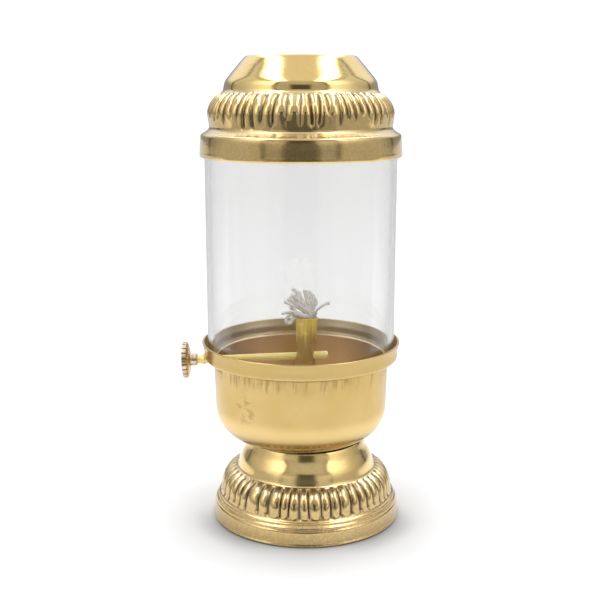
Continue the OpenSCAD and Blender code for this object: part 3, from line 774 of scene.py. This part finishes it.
def satin_brass():
    m, t = material("satin_brass")
    v = t.coords()
    x, y, z = t.xyz(v)
    inside = t.attr("inside")
    big = t.noise(v, 0.05, 2)
    mid = t.noise(v, 0.35, 4)
    spun = t.noise(t.coords((0.06, 0.06, 4.5)), 1.0, 3, 0.65)
    # tarnish that has run down from the step under the rim
    end = t.add(67.5, t.mul(t.noise(t.coords((0.35, 0.35, 0.0)), 1.0, 2), 12.0))
    fall = t.mul(t.step(t.sub(z, end), -1.5, 3.5), t.step(z, 78.6, 79.2, 1.0, 0.0))
    streaks = t.mul(t.step(t.noise(t.coords((0.7, 0.7, 0.03)), 1.0, 3, 0.6), 0.47, 0.64), fall)
    thin = t.mul(t.step(t.noise(t.coords((2.2, 2.2, 0.05)), 1.0, 2), 0.62, 0.68), t.mul(fall, t.step(t.noise(v, 0.13, 1), 0.50, 0.60)))
    pits = t.mul(t.step(t.noise(v, 0.21, 1), 0.58, 0.63), t.step(t.voronoi(v, 0.24), 0.055, 0.085, 1.0, 0.0))
    dx, dz = t.div(t.add(x, 28.0), 5.2), t.div(t.sub(z, 62.0), 8.5)
    patch = t.mul(t.step(t.add(t.mul(dx, dx), t.mul(dz, dz)), 0.2, 1.1, 1.0, 0.0), t.step(y, -12, -6, 1.0, 0.0))
    stain = t.mul(patch, t.step(t.noise(v, 0.42, 1, 0.5), 0.49, 0.66))
    # painted shade under the bowl: mask for its lower curve, below z 41.5 to 48.5
    under = t.step(z, 41.5, 48.5, 1.0, 0.0)
    haze = t.mul(t.mul(t.step(t.noise(t.coords((0.22, 0.22, 0.10)), 1.0, 3, 0.6), 0.42, 0.66), t.band(z, 68.0, 76.0, 78.6, 79.2)), t.sub(1.0, inside))
    painted_floor_glow = t.mul(t.band(z, 45.5, 49.0, 51.0, 58.0), t.sub(1.0, inside))
    band = t.band(z, 80.2, 81.4, 86.6, 87.4)
    c = t.mix(t.step(big, 0.35, 0.65), (0.605, 0.43, 0.162), (0.645, 0.47, 0.20))
    c = t.mix(t.mul(t.step(mid, 0.5, 0.85), 0.16), c, (0.53, 0.365, 0.135))
    # painted shade: the rim band is darkened, standing in for the shaded floor it reflects
    c = t.mix(t.mul(band, 0.6), c, (0.50, 0.358, 0.14))
    c = t.mix(t.mul(haze, 0.34), c, (0.42, 0.285, 0.125))
    c = t.mix(t.mul(streaks, 0.66), c, (0.38, 0.25, 0.105))
    c = t.mix(t.mul(thin, 0.6), c, (0.24, 0.145, 0.06))
    # painted shade: dark line on the wall just under the rim's overhanging step
    c = t.mix(t.mul(t.band(z, 78.0, 78.5, 79.2, 79.6), t.mul(t.sub(1.0, inside), 0.45)), c, (0.22, 0.135, 0.05))
    c = t.mix(t.mul(stain, 0.40), c, (0.36, 0.225, 0.095))
    c = t.mix(t.mul(pits, 0.85), c, (0.14, 0.08, 0.03))
    # painted reflection: the bowl's lower wall is lightened, standing in for the bright floor it reflects
    c = t.mix(t.mul(painted_floor_glow, 0.62), c, (0.97, 0.71, 0.32))
    # painted shade: the bowl's lower curve goes dark brown
    c = t.mix(t.mul(under, 0.85), c, (0.20, 0.142, 0.066))
    # painted shade: near-black bottom face, where the bowl sits on the foot
    c = t.mix(t.mul(t.step(z, 39.8, 40.4, 1.0, 0.0), 0.85), c, (0.05, 0.03, 0.012))
    c = t.mix(t.mul(inside, 0.84), c, (0.90, 0.715, 0.475))
    r = t.add(t.add(0.20, t.mul(mid, 0.05)), t.add(t.mul(t.add(streaks, stain), 0.12), t.mul(inside, 0.10)))
    r = t.sub(r, t.mul(under, 0.08))
    n = t.bump(t.noise(v, 0.12, 2), 0.00005)
    n = t.bump(spun, 0.000007, normal=n)
    close(t, c, r, n)
    return m


def tube_brass():
    m, t = material("tube_brass")
    v = t.coords()
    x, y, z = t.xyz(v)
    inside = t.attr("inside")
    grain = t.noise(t.coords((1.1, 1.1, 0.05)), 1.0, 2, 0.5)
    blot = t.noise(v, 0.2, 2)
    gold = t.step(t.add(z, t.mul(t.sub(grain, 0.5), 16.0)), 87.0, 96.5)
    c = t.mix(gold, (0.50, 0.325, 0.095), (1.0, 0.72, 0.14))
    c = t.mix(t.mul(t.mul(t.step(grain, 0.52, 0.66), gold), 0.65), c, (1.0, 0.86, 0.36))
    worn = t.noise(t.coords((0.7, 0.7, 0.11)), 1.0, 3, 0.6)
    c = t.mix(t.mul(t.step(worn, 0.52, 0.62), 0.34), c, (0.46, 0.29, 0.045))
    c = t.mix(t.mul(inside, 0.6), c, (0.22, 0.14, 0.05))
    r = t.add(0.20, t.mul(blot, 0.12))
    n = t.bump(grain, 0.000014)
    close(t, c, r, n, metallic=0.12, Coat_Weight=0.35, Coat_Roughness=0.12, Coat_IOR=1.6)
    return m


def rod_brass():
    m, t = material("rod_brass")
    v = t.coords()
    lathe = t.noise(t.coords((5.0, 0.2, 0.2)), 1.0, 3, 0.6)
    blot = t.noise(v, 0.4, 3)
    c = t.mix(t.step(blot, 0.35, 0.7), (1.0, 0.84, 0.33), (0.98, 0.78, 0.26))
    c = t.mix(t.mul(t.step(t.noise(v, 1.4, 2), 0.66, 0.74), 0.35), c, (0.50, 0.36, 0.12))
    r = t.add(0.13, t.mul(blot, 0.14))
    n = t.bump(lathe, 0.000006)
    n = t.bump(blot, 0.00003, normal=n)
    close(t, c, r, n, metallic=0.24, Coat_Weight=0.5, Coat_Roughness=0.1, Coat_IOR=1.6)
    return m


def knob_brass():
    m, t = material("knob_brass")
    v = t.coords()
    cav = t.attr("cavity")
    blot = t.noise(v, 0.6, 3)
    lathe = t.noise(t.coords((6.0, 0.5, 0.5)), 1.0, 3, 0.6)
    c = t.mix(t.step(blot, 0.35, 0.65), (0.78, 0.63, 0.47), (0.70, 0.56, 0.375))
    # painted shade: near-black in the notches round the knob's rim
    c = t.mix(t.math("MULTIPLY", cav, 0.95, clamp=True), c, (0.07, 0.035, 0.015))
    r = t.add(t.add(0.20, t.mul(blot, 0.16)), t.mul(cav, 0.3))
    n = t.bump(lathe, 0.00001)
    n = t.bump(blot, 0.00003, normal=n)
    close(t, c, r, n)
    return m


def screw_steel():
    m, t = material("screw_steel")
    v = t.coords()
    blot = t.noise(v, 0.7, 3)
    c = t.mix(t.step(blot, 0.3, 0.7), (0.62, 0.62, 0.60), (0.50, 0.49, 0.46))
    n = t.bump(t.noise(t.coords((3.0, 3.0, 0.4)), 1.0, 3), 0.00001)
    close(t, c, t.add(0.25, t.mul(blot, 0.2)), n)
    return m


def seal_rubber():
    m, t = material("seal_rubber")
    v = t.coords()
    blot = t.noise(v, 1.2, 3)
    c = t.mix(blot, (0.020, 0.020, 0.020), (0.045, 0.043, 0.040))
    close(t, c, t.add(0.6, t.mul(blot, 0.2)), t.bump(blot, 0.00003), metallic=0.0)
    return m


def cotton():
    m, t = material("cotton")
    v = t.coords()
    big = t.noise(v, 0.28, 2)
    fine = t.noise(v, 5.5, 3, 0.7)
    c = t.mix(t.step(big, 0.3, 0.7), (0.98, 0.96, 0.93), (0.93, 0.895, 0.85))
    # painted shade: darker in the grooves between the plies
    c = t.mix(t.step(t.attr("gap"), 0.45, 0.98, 0.0, 0.7), c, (0.50, 0.43, 0.365))
    c = t.mix(t.mul(t.step(fine, 0.5, 0.8), 0.35), c, (0.80, 0.74, 0.67))
    close(t, c, 0.92, t.bump(fine, 0.00012), metallic=0.0, Sheen_Weight=0.3, Sheen_Roughness=0.5)
    return m


def clear_glass():
    m, t = material("clear_glass")
    v = t.coords()
    film = t.noise(t.coords((0.06, 0.06, 0.02)), 1.0, 3)
    b = t.node("ShaderNodeBsdfPrincipled", {"Base Color": t.mix(t.step(t.xyz(v)[2], 86, 182), t.mix(film, (0.846, 0.852, 0.850), (0.857, 0.862, 0.860)), t.mix(film, (0.862, 0.866, 0.864), (0.872, 0.876, 0.874))), "Roughness": t.mul(t.step(film, 0.5, 0.9), 0.015),
                                            "Metallic": 0.0, "IOR": 1.47, "Transmission Weight": 1.0})
    clear = t.node("ShaderNodeBsdfTransparent", {"Color": (0.97, 0.975, 0.975)})
    lp = t.node("ShaderNodeLightPath")
    mixer = t.node("ShaderNodeMixShader")
    fac = t.math("MAXIMUM", lp.outputs["Is Shadow Ray"], lp.outputs["Is Diffuse Ray"])
    t.nt.links.new(fac, mixer.inputs[0])
    t.nt.links.new(b.outputs[0], mixer.inputs[1])
    t.nt.links.new(clear.outputs[0], mixer.inputs[2])
    out = t.node("ShaderNodeOutputMaterial")
    t.nt.links.new(mixer.outputs[0], out.inputs[0])
    return m


MATS = {"polished_brass": polished_brass(), "satin_brass": satin_brass(), "tube_brass": tube_brass(), "rod_brass": rod_brass(), "knob_brass": knob_brass(),
        "screw_steel": screw_steel(), "seal_rubber": seal_rubber(), "cotton": cotton(), "clear_glass": clear_glass()}


def dress(o, slot, body, *nodes):
    o.data.materials.clear()
    o.data.materials.append(MATS[slot])
    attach(o, body)
    if nodes:
        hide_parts(*nodes)


dress(foot, "polished_brass", "lamp_body", "foot")
dress(cap, "polished_brass", "cap", "cap")
dress(bowl, "satin_brass", "lamp_body", "oil_bowl")
dress(glass, "clear_glass", "chimney", "glass_chimney")
dress(tube, "tube_brass", "lamp_body", "wick_tube")
dress(spindle, "rod_brass", "wick_drive", "spindle")
dress(bush, "rod_brass", "lamp_body", "spindle_bush")
dress(knob, "knob_brass", "wick_drive", "knob")
dress(wick, "cotton", "wick", "wick")
for node, slot in (("centre_screw", "screw_steel"), ("base_washer", "screw_steel"), ("sealing_washer", "seal_rubber"), ("tube_foot", "tube_brass"), ("wick_wheel", "rod_brass")):
    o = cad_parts[node]
    o.data.materials.clear()
    o.data.materials.append(MATS[slot])

# ------------------------------------------------------------------- stage
edge_pts = [(0.36 * math.cos(a), 0.36 * math.sin(a)) for a in np.linspace(math.pi, 2 * math.pi, 49)] + [(8.0, 1.0), (8.0, 8.0), (-8.0, 8.0), (-8.0, 1.0)]
fm = bpy.data.meshes.new("floor")
fm.from_pydata([(a, b, 0.0) for a, b in edge_pts], [], [list(range(len(edge_pts)))])
floor = bpy.data.objects.new("floor", fm)
floor.location = (0, 0, -0.00002)
scene.collection.objects.link(floor)
mf, t = material("floor_white")
near = t.node("ShaderNodeAmbientOcclusion", {"Distance": 0.042}, samples=16).outputs["AO"]
x, y, z = t.xyz(t.coords())
away = t.math("SQRT", t.add(t.mul(x, x), t.mul(y, y)))
pale = t.mix(t.noise(t.coords(), 0.02, 2), (0.632, 0.644, 0.664), (0.642, 0.654, 0.674))
# painted shadow: the floor is darker within 46 to 76 mm of the lamp's axis, and lighter again beyond 140 to 200 mm
pale = t.mix(t.step(away, 46, 76), pale, (0.705, 0.715, 0.735))
pale = t.mix(t.step(away, 140, 200), pale, (0.76, 0.76, 0.765))
# painted reflection: seen in the brass beyond 90 to 200 mm, the floor is painted darker towards the back
lp = t.node("ShaderNodeLightPath")
mirror = t.mul(lp.outputs["Is Glossy Ray"], t.math("GREATER_THAN", lp.outputs["Glossy Depth"], 0.5))
pale = t.mix(t.mul(t.step(away, 90, 200), mirror), pale, t.mix(t.step(y, 80, 350), (0.71, 0.71, 0.715), (0.47, 0.47, 0.475)))
# painted shadow: darker patches beside the foot towards the front, left out of reflections
pale = t.mix(t.mul(t.mul(t.step(away, 46, 60, 1.0, 0.0), t.step(t.math("ABSOLUTE", x), 12, 34)), t.mul(t.step(y, -30, 4, 1.0, 0.0), t.sub(1.0, mirror))), pale, (0.45, 0.463, 0.485))
seen = t.mul(lp.outputs["Is Transmission Ray"], t.math("LESS_THAN", lp.outputs["Glossy Depth"], 0.5))
pale = t.mix(t.mul(seen, t.step(t.add(t.mul(x, 0.5), t.mul(y, 0.87)), -180, -50, 1.0, 0.0)), pale, (0.695, 0.695, 0.70))
# painted shadow: darker where ambient occlusion finds the lamp close by, mostly in front of it
shade = t.mul(t.step(near, 0.32, 0.98, 1.0, 0.0), t.step(y, -30, 8, 1.0, 0.10))
close(t, t.mix(shade, pale, (0.125, 0.132, 0.145)), 0.7, metallic=0.0)
fm.materials.append(mf)

# a white tent: two strips overhead, two soft panels at the sides, an open front
world = bpy.data.worlds.new("studio")
scene.world = world
world.use_nodes = True
t = Tree(world.node_tree)
tc = t.node("ShaderNodeTexCoord")
x, y, z = t.xyz(tc.outputs["Generated"])
ax = t.math("ABSOLUTE", x)
az = t.mul(t.math("ARCTAN2", ax, t.mul(y, -1.0)), 180 / math.pi)
el = t.mul(t.math("ARCSINE", z), 180 / math.pi)
p = t.div(ax, t.math("MAXIMUM", z, 0.05))
q = t.div(y, t.math("MAXIMUM", z, 0.05))
base = t.step(el, -2, 75, 0.56, 0.90)
strip = t.mul(t.mul(t.band(p, 0.31, 0.37, 0.60, 0.68), t.step(z, 0.35, 0.5)), t.band(q, -0.8, -0.6, 0.9, 1.3))
edge = t.mul(t.mul(t.band(p, 0.68, 0.71, 0.76, 0.82), t.step(z, 0.35, 0.5)), t.band(q, -0.6, -0.2, 0.7, 1.0))
slope = t.add(az, t.mul(t.sub(el, 35.0), 0.16))        # upright edges that lean out as they rise
panel = t.mul(t.mul(t.step(slope, 40, 44), t.step(az, 47, 102, 1.0, 0.0)), t.band(el, 4, 14, 42, 50))
back = t.mul(t.step(az, 112, 140), t.band(el, 8, 24, 55, 75))
rim = t.math("MAXIMUM", t.mul(t.band(slope, 34, 36.5, 39, 41), t.band(el, 16, 22, 42, 48)), t.mul(t.band(az, 38.5, 40.5, 44.5, 46.5), t.band(el, -4, 0, 6.5, 8.5)))
frame_side = t.mul(t.band(az, 120.5, 123, 125, 127.5), t.band(el, -30, -10, 50, 54))
frame_top = t.mul(t.band(el, 49, 51, 53, 55), t.band(az, 58, 66, 124, 126))
low = t.mul(t.step(slope, 30, 40, 1.0, 0.0), t.step(el, 1, 8, 1.0, 0.0))
front = t.mul(t.step(az, 34, 40, 1.0, 0.0), t.band(el, 14, 20, 46, 58))
sill = t.mul(t.band(az, 16, 22, 42, 48), t.band(el, 6.5, 9, 14, 19))
gap = t.mul(t.step(t.sub(az, t.step(el, 1, 13, 4.5, -1.5)), 14, 20, 1.0, 0.0), t.mul(t.band(el, -60, -40, 25, 30), t.step(el, 5, 12, 0.62, 0.83)))
behind = t.mul(t.step(az, 95, 122), t.step(el, 8, 17, 1.0, 0.0))
light = t.add(base, t.add(t.mul(strip, 3.6), t.add(t.mul(panel, t.step(el, 19, 28, 0.66, 1.36)), t.add(t.mul(back, 0.38), t.mul(sill, 0.16)))))
light = t.mul(light, t.sub(1.0, t.mul(edge, 0.16)))
light = t.mul(light, t.sub(1.0, t.mul(rim, 0.6)))
light = t.mul(light, t.sub(1.0, t.mul(t.math("MAXIMUM", frame_side, t.mul(frame_top, 0.35)), 0.8)))
light = t.mul(light, t.sub(1.0, t.mul(low, 0.3)))
light = t.mul(light, t.sub(1.0, t.mul(front, 0.2)))
light = t.mul(light, t.sub(1.0, t.mul(behind, 0.4)))
light = t.mul(light, t.sub(1.0, gap))
lp = t.node("ShaderNodeLightPath")
tent = t.node("ShaderNodeBackground", {"Color": (1.0, 0.995, 0.985), "Strength": light})
plain = t.node("ShaderNodeBackground", {"Color": (1.0, 1.0, 1.0), "Strength": 1.2})
mixer = t.node("ShaderNodeMixShader")
through = t.mul(lp.outputs["Is Transmission Ray"], t.math("LESS_THAN", lp.outputs["Glossy Depth"], 0.5))
t.nt.links.new(t.math("MAXIMUM", lp.outputs["Is Camera Ray"], through), mixer.inputs[0])
t.nt.links.new(tent.outputs[0], mixer.inputs[1])
t.nt.links.new(plain.outputs[0], mixer.inputs[2])
out = t.node("ShaderNodeOutputWorld")
t.nt.links.new(mixer.outputs[0], out.inputs[0])

# two large soft lamps, one in front on the left and one overhead towards the back
for name, place, size, power in (("soft_front", (-0.35, -1.05, 0.75), 0.9, 3.0), ("soft_top", (0.0, 0.26, 1.2), 0.7, 3.4)):
    lamp_data = bpy.data.lights.new(name, "AREA")
    lamp_data.shape, lamp_data.size, lamp_data.energy = "DISK", size, power
    lamp = bpy.data.objects.new(name, lamp_data)
    lamp.location = place
    lamp.rotation_euler = (Vector((0, 0, 0.1)) - lamp.location).to_track_quat("-Z", "Y").to_euler()
    lamp.visible_camera = lamp.visible_glossy = lamp.visible_transmission = False
    scene.collection.objects.link(lamp)

scene.view_settings.view_transform = "Standard"
scene.view_settings.look = "None"
scene.view_settings.exposure = 0.0
